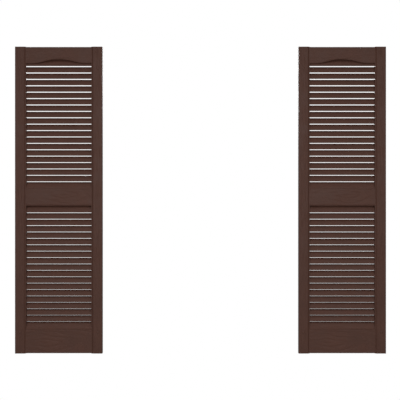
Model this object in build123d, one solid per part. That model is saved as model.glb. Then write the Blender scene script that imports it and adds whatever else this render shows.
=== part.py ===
from build123d import *
from math import atan, atan2, degrees, hypot, sin, sqrt
import os

# A pair of moulded exterior louvred shutters, in millimetres.
# The wall plane is y = 0 and the fronts of the shutters look along -Y, with +Z up.
# The origin is the middle of the pair on the wall plane.

# The pair
SHUTTER_WIDTH = 368.3
SHUTTER_HEIGHT = 1295.4
SHUTTER_DEPTH = 28.6
CLEAR_BETWEEN_SHUTTERS = 829.0

# Walls, ribs and edges of the moulding
WALL = 2.5
RIB_THICKNESS = 2.0
RIB_SETBACK = 4.0
EDGE_RADIUS = 2.0
CUT_OVERRUN = 5.0

# Stiles: a flat face, then a bevel down to the level of the rails
STILE_FACE_WIDTH = 38.0
STILE_BEVEL_WIDTH = 6.0
STILE_STANDS_PROUD = 5.0
STILE_RIB_SPACING = 144.0

# Rails, from the top down
RAIL_END_INSET = 1.0
TOP_RAIL_CROWN_HEIGHT = 52.1
MIDDLE_RAIL_HEIGHT = 73.3
BOTTOM_RAIL_HEIGHT = 100.5
RAIL_BEVEL_HEIGHT = 8.0
RAIL_BEVEL_DEPTH = 4.0
RAIL_TOP_RADIUS = 2.0
RAIL_RIB_SPACING = 68.0

# The arch in the lower edge of the top rail, with a level end beside each stile
ARCH_END_LENGTH = 19.6
ARCH_RISE = 17.0
ARCH_EASE_RADIUS = 180.0

# Louvres, counted by the slits of light between them
UPPER_SLITS = 19
LOWER_SLITS = 18
SLIT_SIGHT = 2.3
LOUVRE_REACH = 16.0
LOUVRE_THICKNESS = 2.4
LOUVRE_EDGE_BEVEL = 0.7
LOUVRE_SETBACK = 2.4
HEADER_DROP = 29.5
MIDDLE_SILL_DROP = 28.6
BOTTOM_SILL_DROP = 32.4

# Fixing spikes, pushed through the stiles into the wall
SPIKE_RADIUS = 3.0
SPIKE_HOLE_CLEARANCE = 0.2
SPIKE_LENGTH = 76.0
SPIKE_HEAD_RADIUS = 5.6
SPIKE_CROWN_RADIUS = 3.4
SPIKE_HEAD_HEIGHT = 2.0
SPIKE_TIP_LENGTH = 4.0
SPIKE_TIP_RADIUS = 1.2
SPIKE_NECK_STEP = 0.2
SPIKE_FROM_END = 90.0

# Sizes that follow
RAIL_DEPTH = SHUTTER_DEPTH - STILE_STANDS_PROUD
STILE_WIDTH = STILE_FACE_WIDTH + STILE_BEVEL_WIDTH + WALL
OPENING_WIDTH = SHUTTER_WIDTH - 2 * STILE_WIDTH
RAIL_LENGTH = OPENING_WIDTH + 2 * WALL
ARCH_HALF_WIDTH = OPENING_WIDTH / 2 - ARCH_END_LENGTH
LOUVRE_LENGTH = OPENING_WIDTH + WALL
SHUTTER_MIDDLE = (CLEAR_BETWEEN_SHUTTERS + SHUTTER_WIDTH) / 2
TOP_EDGE = SHUTTER_HEIGHT / 2 - RAIL_END_INSET
BOTTOM_EDGE = -TOP_EDGE

# The louvre pitch shares out the height that rails, headers and sills leave
SOLID_HEIGHT = TOP_RAIL_CROWN_HEIGHT + MIDDLE_RAIL_HEIGHT + BOTTOM_RAIL_HEIGHT
CLOSED_HEIGHT = 2 * HEADER_DROP + MIDDLE_SILL_DROP + BOTTOM_SILL_DROP
SLIT_STEPS = UPPER_SLITS + LOWER_SLITS - 2
LOUVRE_PITCH = (TOP_EDGE - BOTTOM_EDGE - SOLID_HEIGHT - CLOSED_HEIGHT) / SLIT_STEPS

# Heights of the slits and of the rails' edges
CROWN_EDGE = TOP_EDGE - TOP_RAIL_CROWN_HEIGHT
UPPER_FIRST_SLIT = CROWN_EDGE - HEADER_DROP
UPPER_LAST_SLIT = UPPER_FIRST_SLIT - (UPPER_SLITS - 1) * LOUVRE_PITCH
MIDDLE_RAIL_TOP = UPPER_LAST_SLIT - MIDDLE_SILL_DROP
MIDDLE_RAIL_FOOT = MIDDLE_RAIL_TOP - MIDDLE_RAIL_HEIGHT
LOWER_FIRST_SLIT = MIDDLE_RAIL_FOOT - HEADER_DROP
LOWER_LAST_SLIT = LOWER_FIRST_SLIT - (LOWER_SLITS - 1) * LOUVRE_PITCH
BOTTOM_RAIL_TOP = LOWER_LAST_SLIT - BOTTOM_SILL_DROP

# A louvre's section is a strip with eased edges that slopes down to the front
NOSE_RADIUS = LOUVRE_THICKNESS / 2
NOSE_DEPTH = RAIL_DEPTH - LOUVRE_SETBACK - NOSE_RADIUS
LOUVRE_HEIGHT = LOUVRE_PITCH - SLIT_SIGHT
LOUVRE_SLOPE = atan2(LOUVRE_HEIGHT - LOUVRE_THICKNESS, LOUVRE_REACH - LOUVRE_THICKNESS)

# The bevel inside a rail's hollow, as a share of the one outside, keeps the wall's thickness
BEVEL_STEEPNESS = 1 / RAIL_BEVEL_HEIGHT + 1 / RAIL_BEVEL_DEPTH
POCKET_BEVEL_SHARE = 1 - WALL * (BEVEL_STEEPNESS - hypot(1 / RAIL_BEVEL_HEIGHT, 1 / RAIL_BEVEL_DEPTH))

# The corners of a spike's neck stand just inside the shank's round
NECK_SIDE = sqrt(2) * (SPIKE_RADIUS - SPIKE_NECK_STEP)


def between(length, spacing):
    """Places, from the middle of a length, that part it into equal bays of about the spacing."""
    bays = max(1, round(length / spacing))
    return [length * (step / bays - 1 / 2) for step in range(1, bays)]


def stile_section(back):
    """Section of the left stile, closed at the back along the line y = back."""
    outer = -SHUTTER_WIDTH / 2
    bevel_head = outer + STILE_FACE_WIDTH
    bevel_foot = bevel_head + STILE_BEVEL_WIDTH
    inner = outer + STILE_WIDTH
    outline = Polyline(
        (outer, back),
        (outer, -SHUTTER_DEPTH),
        (bevel_head, -SHUTTER_DEPTH),
        (bevel_foot, -RAIL_DEPTH),
        (inner, -RAIL_DEPTH),
        (inner, back),
        close=True,
    )
    return make_face(outline)


def left_stile():
    """The left stile's outer form, with the front edge rounded outside and at both ends."""
    stile = extrude(stile_section(0), SHUTTER_HEIGHT / 2, both=True)
    face = stile.faces().sort_by(Axis.Y)[0]
    return fillet(face.edges().sort_by(Axis.X)[:-1], EDGE_RADIUS)


def left_stile_hollow():
    """The hollow in the left stile's back, less the cross ribs that stay in it."""
    inside = offset(stile_section(WALL + CUT_OVERRUN), -WALL, kind=Kind.INTERSECTION)
    height = SHUTTER_HEIGHT - 2 * WALL
    hollow = extrude(inside, height / 2, both=True)
    middle = (STILE_WIDTH - SHUTTER_WIDTH) / 2
    for place in between(height, STILE_RIB_SPACING):
        rib = Box(STILE_WIDTH, SHUTTER_DEPTH, RIB_THICKNESS, align=(Align.CENTER, Align.MAX, Align.CENTER))
        hollow -= Pos(middle, -RIB_SETBACK, place) * rib
    return hollow


def level_foot(height):
    """Lower edge of a plain rail."""
    return Line((-RAIL_LENGTH / 2, height), (RAIL_LENGTH / 2, height))


def arched_foot(crown):
    """Lower edge of the top rail: level ends, an easing curve each side and the arch between."""
    turn = 2 * atan(ARCH_RISE / ARCH_HALF_WIDTH)
    crown_radius = ARCH_HALF_WIDTH / sin(turn) - ARCH_EASE_RADIUS
    foot = crown - ARCH_RISE
    left_end = Line((-RAIL_LENGTH / 2, foot), (-ARCH_HALF_WIDTH, foot))
    left_ease = JernArc(left_end @ 1, left_end % 1, ARCH_EASE_RADIUS, degrees(turn))
    arch = JernArc(left_ease @ 1, left_ease % 1, crown_radius, -2 * degrees(turn))
    right_ease = JernArc(arch @ 1, arch % 1, ARCH_EASE_RADIUS, degrees(turn))
    right_end = Line(right_ease @ 1, (RAIL_LENGTH / 2, foot))
    return left_end + left_ease + arch + right_ease + right_end


def rail_front(foot, top):
    """Front outline of a rail, from its lower edge up to a level top."""
    head = Polyline(foot @ 1, ((foot @ 1).X, top), ((foot @ 0).X, top), foot @ 0)
    return Plane.XZ * make_face(foot + head)


def front_edges(block, at_foot):
    """Edges round a rail's front face: the level one at its top, or those along its foot."""
    edges = block.faces().sort_by(Axis.Y)[0].edges()
    head = edges.sort_by(Axis.Z)[-1]
    if not at_foot:
        return [head]
    return [edge for edge in edges if edge != head and edge not in edges.filter_by(Axis.Z)]


def bevel_foot(block, share):
    """A rail's block with the front edge of its foot bevelled, by this share of the bevel's full size."""
    face = block.faces().sort_by(Axis.Y)[0]
    edges = front_edges(block, at_foot=True)
    return chamfer(edges, share * RAIL_BEVEL_HEIGHT, share * RAIL_BEVEL_DEPTH, reference=face)


def rail_hollow(front, bevelled):
    """The hollow in a rail's back, less the upright ribs that stay in it."""
    inside = offset(front, -WALL, kind=Kind.INTERSECTION)
    hollow = extrude(inside, RAIL_DEPTH - WALL)
    if bevelled:
        hollow = bevel_foot(hollow, POCKET_BEVEL_SHARE)
    size = front.bounding_box()
    for place in between(OPENING_WIDTH, RAIL_RIB_SPACING):
        rib = Box(RIB_THICKNESS, RAIL_DEPTH, size.size.Z, align=(Align.CENTER, Align.MAX, Align.CENTER))
        hollow -= Pos(place, -RIB_SETBACK, size.center().Z) * rib
    return hollow


def louvre_section(slit, length):
    """Section of the louvre over a slit: a strip of this length between the middles of its eased edges."""
    strip = Rectangle(length + LOUVRE_THICKNESS, LOUVRE_THICKNESS)
    strip = chamfer(strip.vertices(), LOUVRE_EDGE_BEVEL)
    nose = slit + SLIT_SIGHT / 2 + NOSE_RADIUS
    place = Pos(-NOSE_DEPTH, nose) * Rot(0, 0, degrees(LOUVRE_SLOPE)) * Pos(length / 2, 0)
    return Plane.YZ * place * strip


def louvre(section):
    """A louvre across the opening, with its ends half-way into the stiles' inner walls."""
    return extrude(section, LOUVRE_LENGTH / 2, both=True)


def header_louvre(slit, rail_block):
    """The first louvre of a field, carried on up its slope until it meets the rail above."""
    climb = HEADER_DROP - SLIT_SIGHT / 2
    header = louvre(louvre_section(slit, climb / sin(LOUVRE_SLOPE)))
    wall = Box(SHUTTER_WIDTH, SHUTTER_DEPTH, SHUTTER_HEIGHT, align=(Align.CENTER, Align.MIN, Align.CENTER))
    return header - rail_block - wall


def sill_louvre(last_slit, rail_top):
    """The last louvre of a field, with an upright lip from its nose down to the rail below."""
    slit = last_slit - LOUVRE_PITCH
    length = (LOUVRE_HEIGHT - LOUVRE_THICKNESS) / sin(LOUVRE_SLOPE)
    nose = slit + SLIT_SIGHT / 2 + NOSE_RADIUS
    lip_foot = rail_top - WALL / 2
    lip = Pos(-NOSE_DEPTH, (nose + lip_foot) / 2) * Rectangle(LOUVRE_THICKNESS, nose - lip_foot)
    return louvre(louvre_section(slit, length) + Plane.YZ * lip)


def field_louvres(first_slit, slits):
    """The whole louvres of a field, one under each slit but the last."""
    length = (LOUVRE_HEIGHT - LOUVRE_THICKNESS) / sin(LOUVRE_SLOPE)
    return [louvre(louvre_section(first_slit - step * LOUVRE_PITCH, length)) for step in range(1, slits)]


def spike_places():
    """Where the spikes go through one shutter's stiles, on its front face."""
    across = (SHUTTER_WIDTH - STILE_FACE_WIDTH) / 2
    up = SHUTTER_HEIGHT / 2 - SPIKE_FROM_END
    return [Pos(x, -SHUTTER_DEPTH, z) for x in (-across, across) for z in (-up, up)]


def make_shutter():
    """One shutter as moulded: stiles, rails and louvres in one piece, hollow behind."""
    top_front = rail_front(arched_foot(CROWN_EDGE), TOP_EDGE)
    middle_front = rail_front(level_foot(MIDDLE_RAIL_FOOT), MIDDLE_RAIL_TOP)
    bottom_front = rail_front(level_foot(BOTTOM_EDGE), BOTTOM_RAIL_TOP)
    top_block = extrude(top_front, RAIL_DEPTH)
    middle_block = extrude(middle_front, RAIL_DEPTH)
    bottom_block = extrude(bottom_front, RAIL_DEPTH)

    top_rail = bevel_foot(top_block, 1)
    top_rail = fillet(front_edges(top_rail, at_foot=False), EDGE_RADIUS)
    middle_rail = bevel_foot(middle_block, 1)
    middle_rail = fillet(front_edges(middle_rail, at_foot=False), RAIL_TOP_RADIUS)
    bottom_rail = fillet(front_edges(bottom_block, at_foot=True), EDGE_RADIUS)
    bottom_rail = fillet(front_edges(bottom_rail, at_foot=False), RAIL_TOP_RADIUS)

    stile = left_stile()
    hollow = left_stile_hollow()
    frame = stile + [mirror(stile, Plane.YZ), top_rail, middle_rail, bottom_rail]
    frame -= [hollow, mirror(hollow, Plane.YZ)]
    frame -= [rail_hollow(top_front, bevelled=True), rail_hollow(middle_front, bevelled=True)]
    frame -= rail_hollow(bottom_front, bevelled=False)

    louvres = field_louvres(UPPER_FIRST_SLIT, UPPER_SLITS) + field_louvres(LOWER_FIRST_SLIT, LOWER_SLITS)
    louvres += [header_louvre(UPPER_FIRST_SLIT, top_block), header_louvre(LOWER_FIRST_SLIT, middle_block)]
    louvres += [sill_louvre(UPPER_LAST_SLIT, MIDDLE_RAIL_TOP), sill_louvre(LOWER_LAST_SLIT, BOTTOM_RAIL_TOP)]
    shutter = frame + louvres

    bore = Rot(90, 0, 0) * Cylinder(SPIKE_RADIUS + SPIKE_HOLE_CLEARANCE, 2 * SHUTTER_DEPTH + CUT_OVERRUN)
    return shutter - [place * bore for place in spike_places()]


def make_spike():
    """A fixing spike along +Y: a low bevelled head, a square neck as long as the stile is deep, then
    the round shank that goes into the wall and its point."""
    head = Polyline(
        (0, -SPIKE_HEAD_HEIGHT),
        (SPIKE_CROWN_RADIUS, -SPIKE_HEAD_HEIGHT),
        (SPIKE_HEAD_RADIUS, 0),
        (0, 0),
        close=True,
    )
    shank = Polyline(
        (0, SHUTTER_DEPTH),
        (SPIKE_RADIUS, SHUTTER_DEPTH),
        (SPIKE_RADIUS, SPIKE_LENGTH - SPIKE_TIP_LENGTH),
        (SPIKE_TIP_RADIUS, SPIKE_LENGTH),
        (0, SPIKE_LENGTH),
        close=True,
    )
    neck = Box(NECK_SIDE, SHUTTER_DEPTH, NECK_SIDE, align=(Align.CENTER, Align.MIN, Align.CENTER))
    return revolve(make_face(head), Axis.Y) + [neck, revolve(make_face(shank), Axis.Y)]


os.makedirs("parts", exist_ok=True)
shutter = make_shutter()
spike = make_spike()
for side, middle in (("left", -SHUTTER_MIDDLE), ("right", SHUTTER_MIDDLE)):
    export_step(Pos(middle, 0, 0) * shutter, f"parts/{side}_shutter.step")
    spikes = [Pos(middle, 0, 0) * place * spike for place in spike_places()]
    export_step(Compound(children=spikes), f"parts/{side}_fixing_spikes.step")
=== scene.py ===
"""The looks of a pair of moulded louvred shutters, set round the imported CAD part.

Everything is in metres in the part's own frame: the wall plane is y = 0, the fronts look along -Y,
+Z is up and the origin is the middle of the pair.
"""

import logging
import math
from dataclasses import dataclass, field
from enum import Enum, IntEnum

import bmesh
import bpy
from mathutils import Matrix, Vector


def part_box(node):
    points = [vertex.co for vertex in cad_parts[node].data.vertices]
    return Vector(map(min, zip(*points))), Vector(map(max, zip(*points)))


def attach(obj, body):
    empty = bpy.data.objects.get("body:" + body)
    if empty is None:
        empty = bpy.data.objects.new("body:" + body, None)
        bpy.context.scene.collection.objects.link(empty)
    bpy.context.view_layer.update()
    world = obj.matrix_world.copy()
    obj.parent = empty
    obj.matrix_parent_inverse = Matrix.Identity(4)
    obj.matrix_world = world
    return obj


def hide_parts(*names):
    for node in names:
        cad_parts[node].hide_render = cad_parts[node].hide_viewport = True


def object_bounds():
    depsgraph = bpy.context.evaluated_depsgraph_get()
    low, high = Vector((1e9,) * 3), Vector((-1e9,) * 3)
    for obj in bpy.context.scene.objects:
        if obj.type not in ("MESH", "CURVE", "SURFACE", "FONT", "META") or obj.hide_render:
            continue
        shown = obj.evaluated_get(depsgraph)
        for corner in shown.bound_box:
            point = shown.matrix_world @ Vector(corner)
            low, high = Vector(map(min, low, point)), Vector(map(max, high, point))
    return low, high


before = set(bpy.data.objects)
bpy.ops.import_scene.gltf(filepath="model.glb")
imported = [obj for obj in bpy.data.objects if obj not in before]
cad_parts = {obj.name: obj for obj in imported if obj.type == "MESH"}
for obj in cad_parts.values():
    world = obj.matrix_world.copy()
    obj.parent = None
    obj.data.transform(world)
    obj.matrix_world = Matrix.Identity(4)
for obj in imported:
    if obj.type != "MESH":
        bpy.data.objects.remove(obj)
CAD_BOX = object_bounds()

LOG = logging.getLogger("shutters")
BODY = "root"

Colour = tuple[float, float, float]
Point = tuple[float, float, float]
Span = tuple[float, float]
Socket = bpy.types.NodeSocket

OPAQUE = 1.0
WHITE = (1.0, 1.0, 1.0, OPAQUE)
WHOLE: Span = (0.0, 1.0)
UNSCALED = 1.0

# The wave texture turns by this angle, in radians, over each unit of its scaled coordinate
WAVE_TURN = 20.0

# The angle that counts at an edge that does not have two faces
OPEN_EDGE_TURN = 0.0


class Side(Enum):
    """The two shutters of the pair, as seen by someone who faces them."""

    LEFT = "left"
    RIGHT = "right"


class GrainRun(Enum):
    """Which way the embossed grain runs on a face."""

    LEVEL = 0.0
    UPRIGHT = math.pi / 2
    NONE = None


class NoiseDetail(Enum):
    """How many octaves a noise has."""

    SOFT = 1.0
    FINE = 2.0
    RICH = 4.0


class Join(Enum):
    """How two numbers become one."""

    PRODUCT = "MULTIPLY"
    HIGHER = "MAXIMUM"


class FinishPlace(IntEnum):
    """Where a finish stands in a shutter's list. Each rail has its own, from the first rail on."""

    STILE = 0
    LOUVRE = 1
    BACK = 2
    FIRST_RAIL = 3


class NodeSheet:
    """A node tree with short calls to add nodes and join them."""

    def __init__(self, tree: bpy.types.NodeTree) -> None:
        """Starts from an empty tree.

        Args:
            tree: The tree of a material or of the world.
        """
        tree.nodes.clear()
        self.tree = tree

    def add(self, kind: str, settings: dict[str, object] | None = None, **inputs: object) -> bpy.types.Node:
        """Adds a node and fills its inputs.

        Args:
            kind: The node's type in Blender.
            settings: Properties of the node itself.
            **inputs: Sockets by name, with _ for a space: a value, or an output to join to it.

        Returns:
            The new node.
        """
        node = self.tree.nodes.new(kind)
        for name, value in (settings or {}).items():
            setattr(node, name, value)
        for name, value in inputs.items():
            socket = node.inputs[name.replace("_", " ")]
            if isinstance(value, Socket):
                self.tree.links.new(value, socket)
            else:
                socket.default_value = value
        return node

    def spread(self, value: Socket, source: Span, target: Span) -> Socket:
        """Eases a value from one range to another.

        Args:
            value: The output to ease.
            source: Lowest and highest value that count.
            target: What these two become.

        Returns:
            The eased output.
        """
        node = self.add("ShaderNodeMapRange", {"interpolation_type": "SMOOTHSTEP"}, Value=value)
        node.inputs["From Min"].default_value, node.inputs["From Max"].default_value = source
        node.inputs["To Min"].default_value, node.inputs["To Max"].default_value = target
        return node.outputs["Result"]

    def join(self, way: Join, first: Socket, second: Socket) -> Socket:
        """Makes one number of two.

        Args:
            way: How they are joined.
            first: One output.
            second: The other output.

        Returns:
            The result.
        """
        node = self.add("ShaderNodeMath", {"operation": way.value})
        for socket, value in zip(node.inputs, (first, second)):
            self.tree.links.new(value, socket)
        return node.outputs["Value"]

    def noise(self, place: Socket, scale: float, detail: NoiseDetail, roughness: float = 0.5) -> Socket:
        """A noise in space.

        Args:
            place: Coordinates.
            scale: How many lumps to a metre, or to a unit of the coordinates.
            detail: How fine it goes.
            roughness: How much the finer octaves count.

        Returns:
            A value from 0 to 1.
        """
        node = self.add(
            "ShaderNodeTexNoise", Vector=place, Scale=scale, Detail=detail.value, Roughness=roughness
        )
        return node.outputs["Fac"]

    def bump(
        self, height: Socket, depth: float, under: Socket | None = None, strength: float = 1.0
    ) -> Socket:
        """Bends the surface's normal by a height.

        Args:
            height: A height from 0 to 1.
            depth: How many metres the whole height stands for.
            under: The normal that this bump is laid on, if there is one.
            strength: How much of the bump counts.

        Returns:
            The bent normal.
        """
        laid_on = {} if under is None else {"Normal": under}
        node = self.add("ShaderNodeBump", Strength=strength, Distance=depth, Height=height, **laid_on)
        return node.outputs["Normal"]

    def blend(self, share: Socket, first: Colour, second: Colour) -> Socket:
        """A colour between two.

        Args:
            share: 0 for the first colour, 1 for the second.
            first: One colour.
            second: The other colour.

        Returns:
            The blended colour.
        """
        node = self.add("ShaderNodeMix", {"data_type": "RGBA"}, Factor=share)
        ends = [socket for socket in node.inputs if socket.type == "RGBA"]
        for socket, colour in zip(ends, (first, second)):
            socket.default_value = (*colour, OPAQUE)
        return next(socket for socket in node.outputs if socket.type == "RGBA")

    def mix(self, share: Socket, first: bpy.types.Node, second: bpy.types.Node) -> Socket:
        """A mix of two shaders.

        Args:
            share: 0 for the first shader, 1 for the second.
            first: One shader.
            second: The other shader.

        Returns:
            The mixed shader.
        """
        node = self.add("ShaderNodeMixShader", Fac=share)
        ends = [socket for socket in node.inputs if socket.type == "SHADER"]
        for socket, shader in zip(ends, (first, second)):
            self.tree.links.new(shader.outputs[0], socket)
        return node.outputs["Shader"]


@dataclass(frozen=True)
class MouldedPlastic:
    """Brown plastic, coloured right through, with an embossed wood grain or a plain moulded skin.

    The figure is the spot (x, z) on the shutter that the oval rings of the grain close round. A span is
    the part of a texture's range that counts.
    """

    name: str
    run: GrainRun
    figure: tuple[float, float] = (0.0, 0.0)
    figure_stretch: float = 9.0
    depth_stretch: float = 1000.0
    ring_spacing: float = 0.0165
    ring_wander: float = 5.5
    wander_scale: float = 34.0
    ring_depth: float = 0.0009
    groove_span: Span = (0.0, 0.7)
    groove_tone: float = 0.75
    patch_scale: float = 14.0
    patch_span: Span = (0.35, 0.65)
    patch_floor: float = 0.8
    pore_length: float = 0.11
    pore_width: float = 0.0019
    pore_depth: float = 0.0002
    pore_span: Span = (0.36, 0.50)
    cloud_scale: float = 14.0
    cloud_roughness: float = 0.6
    cloud_span: Span = (0.25, 0.75)
    pale: Colour = (0.0825, 0.0358, 0.0248)
    deep: Colour = (0.0690, 0.0298, 0.0204)
    matt: float = 0.60
    sheen: float = 0.48
    sheen_span: Span = (0.2, 0.8)
    reflectance: float = 0.2
    waviness: float = 0.00018
    wave_scale: float = 11.0
    grit_scale: float = 1400.0
    grit_depth: float = 0.00004
    grit_strength: float = 0.35

    def material(self) -> bpy.types.Material:
        """The finish as a material, made once and then shared.

        Returns:
            The material.
        """
        made = bpy.data.materials.get(self.name)
        if made is not None:
            return made
        made = bpy.data.materials.new(self.name)
        made.use_nodes = True
        sheet = NodeSheet(made.node_tree)
        place = sheet.add("ShaderNodeTexCoord").outputs["Object"]
        cloud = self.cloud(sheet, place)
        tone = cloud
        normal = self.skin(sheet, place)
        if self.run is not GrainRun.NONE:
            rings = self.rings(sheet, place)
            pores = self.pores(sheet, place)
            grain = sheet.join(Join.PRODUCT, rings, pores)
            tone = sheet.join(Join.PRODUCT, cloud, sheet.spread(grain, WHOLE, (self.groove_tone, 1.0)))
            normal = sheet.bump(rings, self.ring_depth, under=normal)
            normal = sheet.bump(pores, self.pore_depth, under=normal)
        shader = sheet.add(
            "ShaderNodeBsdfPrincipled",
            Base_Color=sheet.blend(tone, self.deep, self.pale),
            Roughness=sheet.spread(cloud, self.sheen_span, (self.sheen, self.matt)),
            Normal=normal,
            Specular_IOR_Level=self.reflectance,
        )
        sheet.add("ShaderNodeOutputMaterial", Surface=shader.outputs["BSDF"])
        return made

    def cloud(self, sheet: NodeSheet, place: Socket) -> Socket:
        """Slow drifts of tone, as in pigmented plastic.

        Args:
            sheet: The material's nodes.
            place: Coordinates on the shutter.

        Returns:
            A value from 0 to 1.
        """
        drift = sheet.noise(place, self.cloud_scale, NoiseDetail.RICH, self.cloud_roughness)
        return sheet.spread(drift, self.cloud_span, WHOLE)

    def skin(self, sheet: NodeSheet, place: Socket) -> Socket:
        """The moulded skin: a slow waviness, and a fine matt texture from the mould.

        Args:
            sheet: The material's nodes.
            place: Coordinates on the shutter.

        Returns:
            The bumped normal.
        """
        wave = sheet.noise(place, self.wave_scale, NoiseDetail.SOFT)
        grit = sheet.noise(place, self.grit_scale, NoiseDetail.FINE)
        slow = sheet.bump(wave, self.waviness)
        return sheet.bump(grit, self.grit_depth, under=slow, strength=self.grit_strength)

    def rings(self, sheet: NodeSheet, place: Socket) -> Socket:
        """Height of the grain's rings, deep in some patches and shallow in others.

        Args:
            sheet: The material's nodes.
            place: Coordinates on the shutter.

        Returns:
            A height from 0, in a groove, to 1.
        """
        along = sheet.add(
            "ShaderNodeMapping", {"vector_type": "TEXTURE"}, Vector=place,
            Location=(self.figure[0], 0.0, self.figure[1]), Rotation=(0.0, self.run.value, 0.0),
            Scale=(self.figure_stretch, self.depth_stretch, 1.0),
        )
        density = math.tau / (WAVE_TURN * self.ring_spacing)
        # The wave's own noise is scaled by the density too, which is taken out again here
        wave = sheet.add(
            "ShaderNodeTexWave", {"wave_type": "RINGS", "rings_direction": "Y"},
            Vector=along.outputs["Vector"], Scale=density, Distortion=self.ring_wander,
            Detail=NoiseDetail.SOFT.value, Detail_Scale=self.wander_scale / density,
        )
        groove = sheet.spread(wave.outputs["Fac"], self.groove_span, WHOLE)
        patches = sheet.noise(place, self.patch_scale, NoiseDetail.SOFT)
        groove_floor = sheet.spread(patches, self.patch_span, (self.patch_floor, 0.0))
        return sheet.join(Join.HIGHER, groove, groove_floor)

    def pores(self, sheet: NodeSheet, place: Socket) -> Socket:
        """Height of the short pores that lie along the grain.

        Args:
            sheet: The material's nodes.
            place: Coordinates on the shutter.

        Returns:
            A height from 0, in a pore, to 1.
        """
        along = sheet.add(
            "ShaderNodeMapping", {"vector_type": "TEXTURE"}, Vector=place,
            Rotation=(0.0, self.run.value, 0.0), Scale=(self.pore_length, self.pore_width, self.pore_width),
        )
        flecks = sheet.noise(along.outputs["Vector"], UNSCALED, NoiseDetail.FINE)
        return sheet.spread(flecks, self.pore_span, WHOLE)


STILE_GRAIN = MouldedPlastic(
    "stile_grain",
    GrainRun.UPRIGHT,
    figure=(0.16, 0.1),
    figure_stretch=26.0,
    wander_scale=300.0,
    ring_depth=0.0006,
)
# Painted light: the louvres' pale and deep colours are about a tenth lighter than the other grains', and
# their grooves paler, standing in for more light on the tilted louvre faces
LOUVRE_GRAIN_PAINTED_LIGHT = MouldedPlastic(
    "louvre_grain",
    GrainRun.LEVEL,
    figure=(0.05, 0.0),
    figure_stretch=30.0,
    wander_scale=300.0,
    ring_depth=0.0002,
    groove_tone=0.8,
    pale=(0.0900, 0.0391, 0.0271),
    deep=(0.0753, 0.0325, 0.0223),
)
MOULDED_BACK = MouldedPlastic("moulded_back", GrainRun.NONE, sheen=0.40, matt=0.52)
SPIKE_SKIN = MouldedPlastic("spike_skin", GrainRun.NONE, sheen=0.42, matt=0.54)


@dataclass(frozen=True)
class Rail:
    """One rail of a shutter: the heights that it fills and the figure in its grain."""

    name: str
    low: float
    high: float
    figure: tuple[float, float]
    stretch: float

    def finish(self) -> MouldedPlastic:
        """The rail's own grained plastic."""
        return MouldedPlastic(
            f"{self.name}_grain", GrainRun.LEVEL, figure=self.figure, figure_stretch=self.stretch
        )


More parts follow.
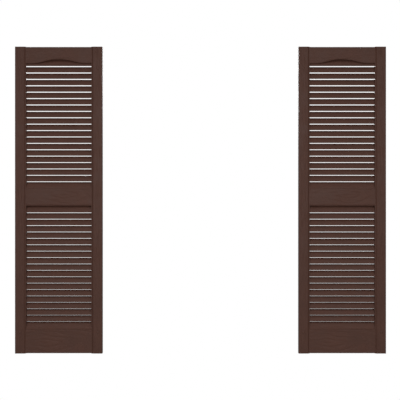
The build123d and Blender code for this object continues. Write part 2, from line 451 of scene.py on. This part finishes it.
@dataclass
class ShutterMoulding:
    """One shutter: stiles, rails and louvres in one moulding, with every outer edge eased."""

    node: str
    piece: str
    stile_width: float = 0.0465
    louvre_front: float = -0.0165
    side_on: float = 0.05
    rim_margin: float = 0.001
    edge_radius: float = 0.00045
    edge_segments: int = 3
    shortest_edge: float = 0.002
    edge_angle: float = math.radians(30.0)
    ease_angle: float = math.radians(45.0)
    ease_play: float = math.radians(2.0)
    flat_angle: float = math.radians(0.2)
    crease_angle: float = math.radians(32.0)
    flat_weight: int = 100
    whole_corners: int = 4
    merge: float = 1e-6
    rails: tuple[Rail, ...] = (
        Rail("top_rail", low=0.5776, high=0.6467, figure=(-0.150, 0.6210), stretch=9.0),
        Rail("middle_rail", low=-0.0242, high=0.0493, figure=(0.0170, 0.0200), stretch=3.2),
        Rail("bottom_rail", low=-0.6467, high=-0.5462, figure=(-0.060, -0.6060), stretch=3.8),
    )
    middle: Vector = field(init=False)
    half_width: float = field(init=False)
    opening_half: float = field(init=False)

    def __post_init__(self) -> None:
        """Takes the shutter's middle and widths from its CAD node."""
        low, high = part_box(self.node)
        self.middle = Vector(((low.x + high.x) / 2, 0.0, (low.z + high.z) / 2))
        self.half_width = (high.x - low.x) / 2
        self.opening_half = self.half_width - self.stile_width

    def build(self) -> bpy.types.Object:
        """Makes the moulding from the CAD node's form, with its edges rounded.

        Returns:
            The finished object, in place.
        """
        shape = bmesh.new()
        shape.from_mesh(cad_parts[self.node].data)
        bmesh.ops.translate(shape, verts=shape.verts, vec=-self.middle)
        bmesh.ops.remove_doubles(shape, verts=shape.verts, dist=self.merge)
        self.part_finishes(shape)
        bmesh.ops.dissolve_limit(
            shape, angle_limit=self.flat_angle, verts=shape.verts, edges=shape.edges, delimit={"MATERIAL"}
        )
        bmesh.ops.dissolve_degenerate(shape, dist=self.merge, edges=shape.edges)
        self.mark_edges(shape)
        mesh = bpy.data.meshes.new(self.piece)
        shape.to_mesh(mesh)
        shape.free()
        carried_normals = mesh.attributes.get("custom_normal")
        if carried_normals is not None:
            mesh.attributes.remove(carried_normals)
        piece = bpy.data.objects.new(self.piece, mesh)
        bpy.context.scene.collection.objects.link(piece)
        piece.location = self.middle
        self.round_edges(piece)
        return piece

    def part_finishes(self, shape: bmesh.types.BMesh) -> None:
        """Parts the flats where rails meet stiles, and notes the finish of each face.

        Args:
            shape: The moulding round its own middle.
        """
        for side in (-self.opening_half, self.opening_half):
            every = shape.verts[:] + shape.edges[:] + shape.faces[:]
            bmesh.ops.bisect_plane(
                shape, geom=every, dist=self.merge, plane_co=(side, 0.0, 0.0), plane_no=(1.0, 0.0, 0.0)
            )
        for face in shape.faces:
            face.material_index = self.finish_of(face)

    def finish_of(self, face: bmesh.types.BMFace) -> int:
        """Picks the finish of one face by where it is and which way it looks.

        Args:
            face: A face of the moulding.

        Returns:
            The place of its finish in the piece's list.
        """
        x, y, z = face.calc_center_median()
        facing_out = face.normal.y < -self.side_on
        if abs(x) > self.opening_half:
            at_rim = abs(x) > self.half_width - self.rim_margin
            outer_side = at_rim and face.normal.y < self.side_on
            return FinishPlace.STILE if facing_out or outer_side else FinishPlace.BACK
        if not facing_out:
            return FinishPlace.BACK
        for place, rail in enumerate(self.rails, FinishPlace.FIRST_RAIL):
            if rail.low <= z <= rail.high and y < self.louvre_front:
                return place
        return FinishPlace.LOUVRE

    def mark_edges(self, shape: bmesh.types.BMesh) -> None:
        """Marks the outer edges that are to be rounded.

        Args:
            shape: The moulding round its own middle.
        """
        weight = shape.edges.layers.float.new("bevel_weight_edge")
        for edge in shape.edges:
            outer = edge.is_manifold and edge.is_convex and edge.calc_face_angle() > self.edge_angle
            if outer and edge.calc_length() > self.shortest_edge and not self.along_louvre(edge):
                edge[weight] = 1.0

    def along_louvre(self, edge: bmesh.types.BMEdge) -> bool:
        """Whether an edge is one of those, already eased, that run along a louvre.

        Args:
            edge: An edge of the moulding.

        Returns:
            True for an eased edge of a louvre.
        """
        run = abs(edge.verts[0].co.x - edge.verts[1].co.x)
        turn = edge.calc_face_angle(OPEN_EDGE_TURN)
        return run > self.opening_half and abs(turn - self.ease_angle) < self.ease_play

    def round_edges(self, piece: bpy.types.Object) -> None:
        """Rounds the marked edges and keeps the flats looking flat.

        Args:
            piece: The moulding with its outer edges marked.
        """
        bevel = piece.modifiers.new("edges", "BEVEL")
        bevel.limit_method = "WEIGHT"
        bevel.width = self.edge_radius
        bevel.segments = self.edge_segments
        bevel.use_clamp_overlap = False
        bevel.miter_outer = "MITER_ARC"
        settle(piece)
        shape = bmesh.new()
        shape.from_mesh(piece.data)
        bmesh.ops.remove_doubles(shape, verts=shape.verts, dist=self.merge)
        bmesh.ops.dissolve_degenerate(shape, dist=self.merge, edges=shape.edges)
        for edge in shape.edges:
            turn = edge.calc_face_angle(OPEN_EDGE_TURN)
            edge.smooth = turn < self.crease_angle or self.along_louvre(edge)
        for face in shape.faces:
            face.smooth = True
        shape.to_mesh(piece.data)
        shape.free()
        flats = piece.modifiers.new("flats", "WEIGHTED_NORMAL")
        flats.keep_sharp = True
        flats.weight = self.flat_weight
        cuts = piece.modifiers.new("cuts", "TRIANGULATE")
        cuts.ngon_method = "BEAUTY"
        cuts.min_vertices = self.whole_corners + 1
        cuts.keep_custom_normals = True
        settle(piece)

    def dress(self, piece: bpy.types.Object) -> None:
        """Gives each face its grain: upright on stiles, level on rails and louvres, none behind. The
        louvres' colour is lighter, which is painted light.

        Args:
            piece: The built moulding.
        """
        finishes = {
            FinishPlace.STILE: STILE_GRAIN,
            # The louvres' finish carries painted light: lighter colours for brighter louvre faces
            FinishPlace.LOUVRE: LOUVRE_GRAIN_PAINTED_LIGHT,
            FinishPlace.BACK: MOULDED_BACK,
        }
        finishes.update(enumerate((rail.finish() for rail in self.rails), FinishPlace.FIRST_RAIL))
        for place in sorted(finishes):
            piece.data.materials.append(finishes[place].material())


@dataclass(frozen=True)
class SpikeRing:
    """One ring of a spike's skin, at a depth behind the stile's face.

    A power of 2 makes the ring round, and a high power makes it nearly square.
    """

    depth: float
    half: float
    power: float = 2.0

    def reach(self, across: float, up: float) -> float:
        """How far the ring is from its middle in a direction.

        Args:
            across: Share of the direction that goes across.
            up: Share of the direction that goes up.

        Returns:
            The distance.
        """
        return self.half / (abs(across) ** self.power + abs(up) ** self.power) ** (1 / self.power)


@dataclass
class FixingSpikes:
    """The four push-in spikes of one shutter: domed head, square neck, barbed shank and point."""

    node: str
    piece: str
    head_radius: float = 0.0056
    head_height: float = 0.0020
    head_rim: float = 0.0006
    dome_steps: int = 7
    stile_depth: float = 0.0286
    neck_half: float = 0.00198
    neck_power: float = 9.0
    shank_radius: float = 0.0030
    barb_root: float = 0.0024
    barb_land_share: float = 0.25
    barbs: int = 11
    tip_length: float = 0.0040
    tip_radius: float = 0.0012
    segments: int = 40
    crease_angle: float = math.radians(35.0)

    def build(self) -> bpy.types.Object:
        """Makes the four spikes as one piece, each where the CAD has it.

        Returns:
            The finished object.
        """
        low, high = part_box(self.node)
        face = low.y + self.head_height
        shape = bmesh.new()
        for x in (low.x + self.head_radius, high.x - self.head_radius):
            for z in (low.z + self.head_radius, high.z - self.head_radius):
                self.add_spike(shape, Vector((x, face, z)), high.y - face)
        bmesh.ops.recalc_face_normals(shape, faces=shape.faces)
        mesh = bpy.data.meshes.new(self.piece)
        shape.to_mesh(mesh)
        shape.free()
        mesh.polygons.foreach_set("use_smooth", [True] * len(mesh.polygons))
        mesh.set_sharp_from_angle(angle=self.crease_angle)
        piece = bpy.data.objects.new(self.piece, mesh)
        bpy.context.scene.collection.objects.link(piece)
        return piece

    def rings(self, length: float) -> list[SpikeRing]:
        """The spike's outline from the crown of its head to its point.

        Args:
            length: From the stile's face to the point.

        Returns:
            The rings in order.
        """
        dome = self.head_height - self.head_rim
        made = []
        for step in range(1, self.dome_steps + 1):
            turn = math.pi / 2 * step / self.dome_steps
            made.append(SpikeRing(-self.head_rim - dome * math.cos(turn), self.head_radius * math.sin(turn)))
        made.append(SpikeRing(0.0, self.head_radius))
        made.append(SpikeRing(0.0, self.neck_half, self.neck_power))
        made.append(SpikeRing(self.stile_depth, self.neck_half, self.neck_power))
        pitch = (length - self.tip_length - self.stile_depth) / self.barbs
        for barb in range(self.barbs):
            start = self.stile_depth + barb * pitch
            made.append(SpikeRing(start, self.shank_radius))
            made.append(SpikeRing(start + pitch * self.barb_land_share, self.shank_radius))
            made.append(SpikeRing(start + pitch, self.barb_root))
        made.append(SpikeRing(length, self.tip_radius))
        return made

    def add_spike(self, shape: bmesh.types.BMesh, place: Vector, length: float) -> None:
        """Adds one spike, as a skin from ring to ring closed at both ends.

        Args:
            shape: The mesh to add to.
            place: The spike's axis at the stile's face.
            length: From the stile's face to the point.
        """
        loops = []
        for ring in self.rings(length):
            loop = []
            for step in range(self.segments):
                turn = math.tau * step / self.segments
                across, up = math.cos(turn), math.sin(turn)
                reach = ring.reach(across, up)
                loop.append(shape.verts.new(place + Vector((reach * across, ring.depth, reach * up))))
            loops.append(loop)
        for near, far in zip(loops, loops[1:]):
            for step in range(self.segments):
                after = (step + 1) % self.segments
                shape.faces.new((near[step], near[after], far[after], far[step]))
        shape.faces.new(loops[0])
        shape.faces.new(loops[-1])

    def dress(self, piece: bpy.types.Object) -> None:
        """Gives the spikes the shutter's colour with a smooth skin.

        Args:
            piece: The built spikes.
        """
        piece.data.materials.append(SPIKE_SKIN.material())


class LampKind(Enum):
    """The lamps of the studio."""

    SOFTBOX = "AREA"
    FAR_PANEL = "SUN"


@dataclass(frozen=True)
class Lamp:
    """One soft lamp that looks at the middle of the pair.

    A softbox's power is in watts. A far panel lights the whole pair from one direction: its power is in
    watts on each square metre, and its width is the angle that it fills, in radians. It has no height.
    """

    name: str
    kind: LampKind
    place: Point
    power: float
    width: float
    height: float = 0.0

    def build(self) -> None:
        """Hangs the lamp, unseen by the camera."""
        lamp = bpy.data.lights.new(self.name, self.kind.value)
        if self.kind is LampKind.SOFTBOX:
            lamp.shape = "RECTANGLE"
            lamp.size = self.width
            lamp.size_y = self.height
        else:
            lamp.angle = self.width
        lamp.energy = self.power
        holder = bpy.data.objects.new(self.name, lamp)
        holder.location = self.place
        holder.rotation_euler = (-Vector(self.place)).to_track_quat("-Z", "Y").to_euler()
        holder.visible_camera = False
        bpy.context.scene.collection.objects.link(holder)


@dataclass(frozen=True)
class Studio:
    """White room light, pale floor and the camera."""

    frame_pixels: float = 400.0
    metres_per_pixel: float = 0.004216
    distance: float = 4.3
    middle_pixel: tuple[float, float] = (200.5, 200.1)
    sensor: float = 36.0
    backdrop: float = 1.0
    room_light: float = 0.23
    floor_height: float = -1.15
    floor_half_width: float = 2.2
    floor_near: float = -3.0
    floor_far: float = 1.3
    floor_fade: float = 0.5
    floor_roughness: float = 0.7
    floor_tone: Colour = (0.74, 0.73, 0.71)
    lamps: tuple[Lamp, ...] = (
        Lamp("top_panel", LampKind.FAR_PANEL, place=(0.0, -4.0, 3.4), power=0.82, width=0.8),
        Lamp("front_panel", LampKind.FAR_PANEL, place=(0.0, -6.0, -0.6), power=0.34, width=0.9),
        Lamp("middle_softbox", LampKind.SOFTBOX, place=(0.0, -1.9, 0.34), power=12.5, width=2.2, height=0.5),
        Lamp("back_softbox", LampKind.SOFTBOX, place=(0.0, 4.0, 1.6), power=145.0, width=3.2, height=1.6),
    )

    def build(self) -> None:
        """Sets up light, floor and camera."""
        self.light()
        self.floor()
        self.camera()

    def light(self) -> None:
        """A white backdrop for the camera, softer light from all round, and the lamps."""
        world = bpy.data.worlds.new("studio")
        world.use_nodes = True
        sheet = NodeSheet(world.node_tree)
        room = sheet.add("ShaderNodeBackground", Color=WHITE, Strength=self.room_light)
        seen = sheet.add("ShaderNodeBackground", Color=WHITE, Strength=self.backdrop)
        path = sheet.add("ShaderNodeLightPath")
        sheet.add("ShaderNodeOutputWorld", Surface=sheet.mix(path.outputs["Is Camera Ray"], room, seen))
        bpy.context.scene.world = world
        bpy.context.scene.view_settings.view_transform = "Standard"
        for lamp in self.lamps:
            lamp.build()

    def floor(self) -> None:
        """A plain pale floor below the pair, which fades into the backdrop."""
        corners = (
            (-self.floor_half_width, self.floor_near, self.floor_height),
            (self.floor_half_width, self.floor_near, self.floor_height),
            (self.floor_half_width, self.floor_far, self.floor_height),
            (-self.floor_half_width, self.floor_far, self.floor_height),
        )
        mesh = bpy.data.meshes.new("floor")
        mesh.from_pydata(corners, [], [range(len(corners))])
        mesh.materials.append(self.floor_finish())
        floor = bpy.data.objects.new("floor", mesh)
        bpy.context.scene.collection.objects.link(floor)

    def floor_finish(self) -> bpy.types.Material:
        """The floor's matt finish, clear towards its edges.

        Returns:
            The material.
        """
        finish = bpy.data.materials.new("pale_floor")
        finish.use_nodes = True
        sheet = NodeSheet(finish.node_tree)
        pale = sheet.add(
            "ShaderNodeBsdfPrincipled", Base_Color=(*self.floor_tone, OPAQUE), Roughness=self.floor_roughness
        )
        clear = sheet.add("ShaderNodeBsdfTransparent")
        # Generated coordinates go from 0 to 1 over the floor, and here from -1 to 1
        from_middle = sheet.add(
            "ShaderNodeMapping", Vector=sheet.add("ShaderNodeTexCoord").outputs["Generated"],
            Location=(-1.0, -1.0, 0.0), Scale=(2.0, 2.0, 0.0),
        )
        reach = sheet.add(
            "ShaderNodeVectorMath", {"operation": "LENGTH"}, Vector=from_middle.outputs["Vector"]
        )
        shown = sheet.spread(reach.outputs["Value"], (1.0 - self.floor_fade, 1.0), (1.0, 0.0))
        sheet.add("ShaderNodeOutputMaterial", Surface=sheet.mix(shown, clear, pale))
        return finish

    def camera(self) -> None:
        """A level camera straight in front of the pair."""
        front = CAD_BOX[0].y
        half_view = self.frame_pixels * self.metres_per_pixel / 2
        data = bpy.data.cameras.new("camera")
        data.sensor_width = self.sensor
        data.lens = self.sensor / 2 * self.distance / half_view
        camera = bpy.data.objects.new("camera", data)
        aside = (self.frame_pixels / 2 - self.middle_pixel[0]) * self.metres_per_pixel
        up = (self.middle_pixel[1] - self.frame_pixels / 2) * self.metres_per_pixel
        camera.location = (aside, front - self.distance, up)
        camera.rotation_euler = (math.pi / 2, 0.0, 0.0)
        bpy.context.scene.collection.objects.link(camera)
        bpy.context.scene.camera = camera


def settle(piece: bpy.types.Object) -> None:
    """Turns a piece's modifiers into plain mesh.

    Args:
        piece: The object whose modifiers are applied.
    """
    graph = bpy.context.evaluated_depsgraph_get()
    shown = piece.evaluated_get(graph)
    mesh = bpy.data.meshes.new_from_object(shown, preserve_all_data_layers=True, depsgraph=graph)
    before = piece.data
    piece.modifiers.clear()
    piece.data = mesh
    bpy.data.meshes.remove(before)
    mesh.name = piece.name


def main() -> None:
    """Builds the pair and the studio, and logs each piece's face count."""
    logging.basicConfig(level=logging.INFO, format="%(name)s: %(message)s")
    for side in Side:
        shutter = ShutterMoulding(f"{side.value}_shutter", f"{side.value}_louvred_shutter")
        spikes = FixingSpikes(f"{side.value}_fixing_spikes", f"{side.value}_spikes")
        for part, slot in ((shutter, "shutter_moulding"), (spikes, "spike_moulding")):
            piece = part.build()
            part.dress(piece)
            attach(piece, BODY)
            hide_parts(part.node)
            LOG.info("%s: %d faces", piece.name, len(piece.data.polygons))
    Studio().build()


if __name__ == "__main__":
    main()
